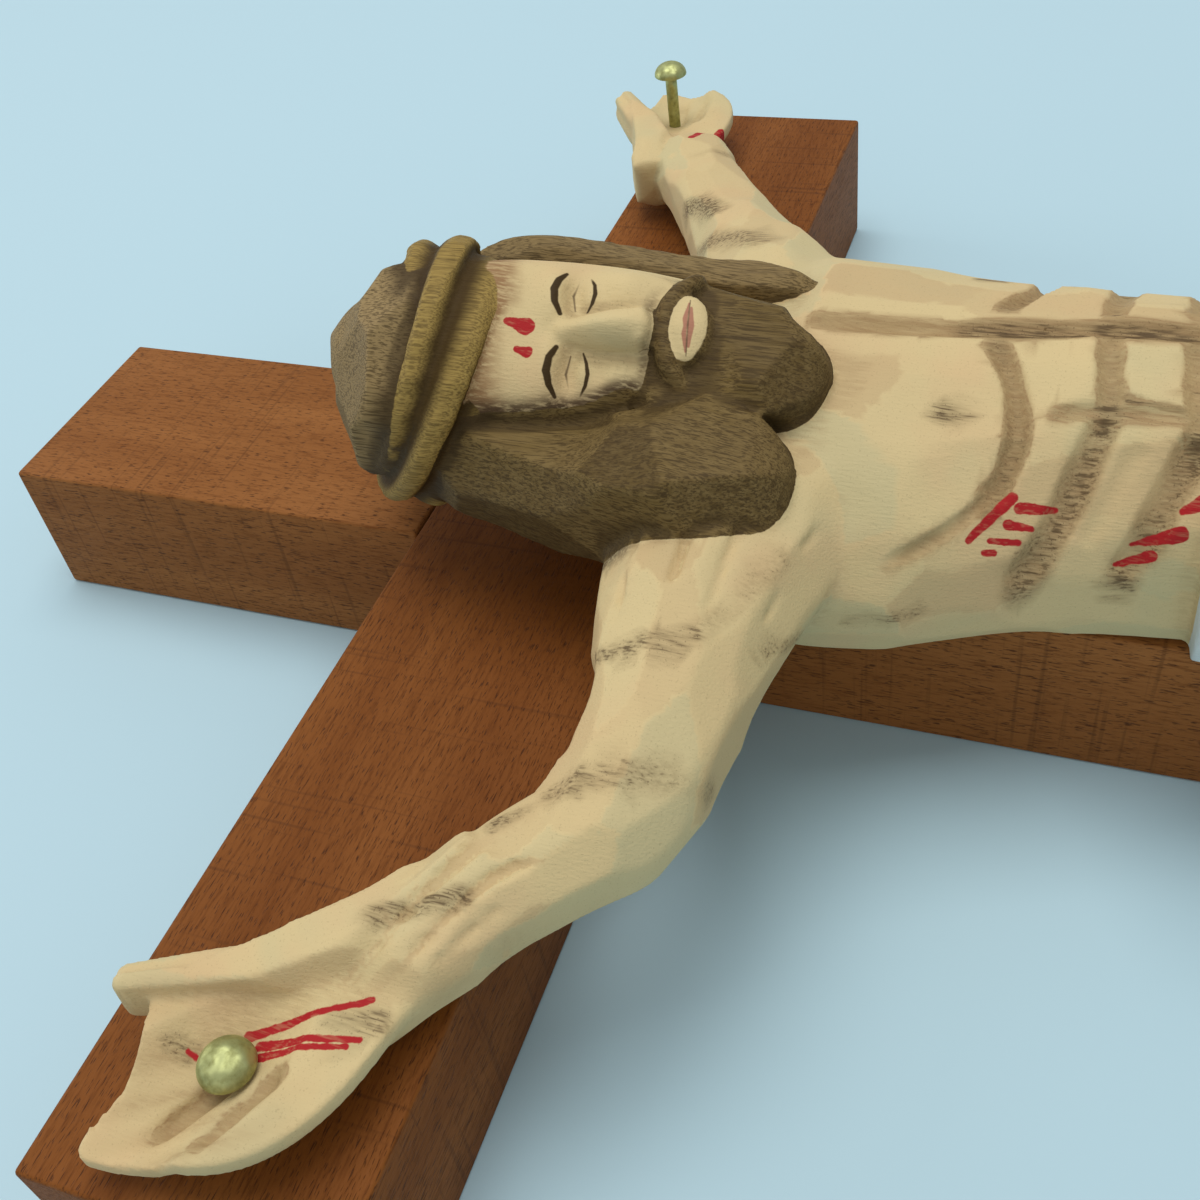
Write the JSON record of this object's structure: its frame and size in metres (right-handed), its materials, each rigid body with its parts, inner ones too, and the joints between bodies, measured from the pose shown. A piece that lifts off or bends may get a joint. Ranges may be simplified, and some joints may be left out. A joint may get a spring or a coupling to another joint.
{
  "type": "wooden crucifix",
  "caption": "Small wooden crucifix: a lapped bar cross with a carved, painted figure held by brass round-head pins; it lies flat on its back.",
  "frame": {"origin": "on the flat back of the cross, at the middle of the crossing", "axes": "+Y towards the head end of the upright, +X towards the figure's left hand, +Z out of the front; it lies on its back on the XY plane"},
  "size_m": [0.19, 0.27, 0.055],
  "materials": {
    "bar_wood": "reddish-brown hardwood, sanded and lightly oiled",
    "painted_wood": "knife-cut wood under thin matte cream paint, brown stain in the hollows, grey-brown hair",
    "brass": "polished brass, slightly dulled"
  },
  "bodies": {
    "root": {"upright": "bar_wood", "crossbar": "bar_wood", "figure": "painted_wood", "nail_right_hand": "brass", "nail_left_hand": "brass", "nail_feet": "brass"}
  },
  "joints": []
}
